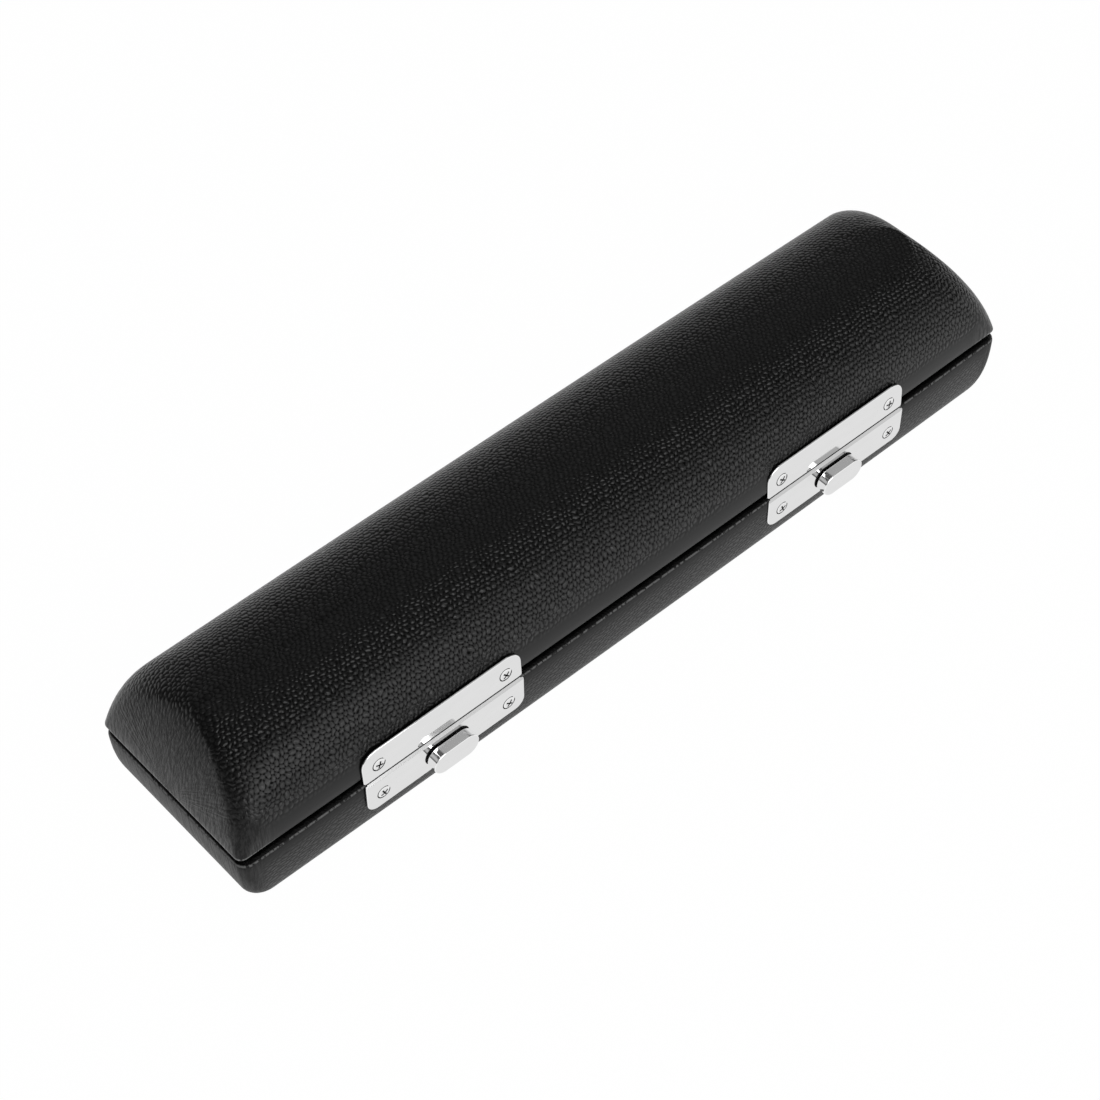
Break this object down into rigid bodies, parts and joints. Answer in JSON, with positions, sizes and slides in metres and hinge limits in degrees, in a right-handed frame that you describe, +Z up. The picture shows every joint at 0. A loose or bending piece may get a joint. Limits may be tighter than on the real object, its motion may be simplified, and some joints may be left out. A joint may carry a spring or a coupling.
{
  "type": "flute case",
  "caption": "Leather-covered flute case with a domed lid hinged to a shallow base, sliding-button latches on the front and a fitted velvet insert inside.",
  "frame": {"origin": "middle of the case's flat underside, half way along its length and between its long walls", "axes": "+X along the length of the case; -Y out of the front, where the latches are; +Z up"},
  "size_m": [0.41, 0.1007, 0.0685],
  "materials": {
    "black_leather": "pebbled, satin",
    "pressed_wood": "plain",
    "lining_velvet": "short pile",
    "chrome": "polished",
    "works_steel": "plain"
  },
  "bodies": {
    "base": {"base_cover": "black_leather", "base_shell": "pressed_wood", "base_insert": "lining_velvet", "left_lock_plate": "chrome", "left_keeper": "works_steel", "left_return_spring": "works_steel", "left_lock_screw_1": "chrome", "left_lock_screw_2": "chrome", "left_hinge_base_leaf": "chrome", "left_hinge_base_screw_1": "chrome", "left_hinge_base_screw_2": "chrome", "left_hinge_pin": "works_steel", "right_lock_plate": "chrome", "right_keeper": "works_steel", "right_return_spring": "works_steel", "right_lock_screw_1": "chrome", "right_lock_screw_2": "chrome", "right_hinge_base_leaf": "chrome", "right_hinge_base_screw_1": "chrome", "right_hinge_base_screw_2": "chrome", "right_hinge_pin": "works_steel"},
    "lid": {"lid_cover": "black_leather", "lid_shell": "pressed_wood", "lid_lining": "lining_velvet", "left_catch_plate": "chrome", "left_hook": "works_steel", "left_catch_screw_1": "chrome", "left_catch_screw_2": "chrome", "left_hinge_lid_leaf": "chrome", "left_hinge_lid_screw_1": "chrome", "left_hinge_lid_screw_2": "chrome", "right_catch_plate": "chrome", "right_hook": "works_steel", "right_catch_screw_1": "chrome", "right_catch_screw_2": "chrome", "right_hinge_lid_leaf": "chrome", "right_hinge_lid_screw_1": "chrome", "right_hinge_lid_screw_2": "chrome"},
    "left_button": {"left_button": "chrome", "left_slider": "works_steel"},
    "right_button": {"right_button": "chrome", "right_slider": "works_steel"}
  },
  "joints": [
    {"name": "lid_hinge", "type": "hinge", "parent": "base", "child": "lid", "pos_m": [0, 0.04693, 0.0291], "axis": [-1, 0, 0], "range_deg": [0, 105]},
    {"name": "left_release", "type": "slide", "parent": "base", "child": "left_button", "axis": [-1, 0, 0], "range_m": [0, 0.005], "stiffness_N_per_m": 200, "deforming": ["left_return_spring"]},
    {"name": "right_release", "type": "slide", "parent": "base", "child": "right_button", "axis": [1, 0, 0], "range_m": [0, 0.005], "stiffness_N_per_m": 200, "deforming": ["right_return_spring"]}
  ]
}
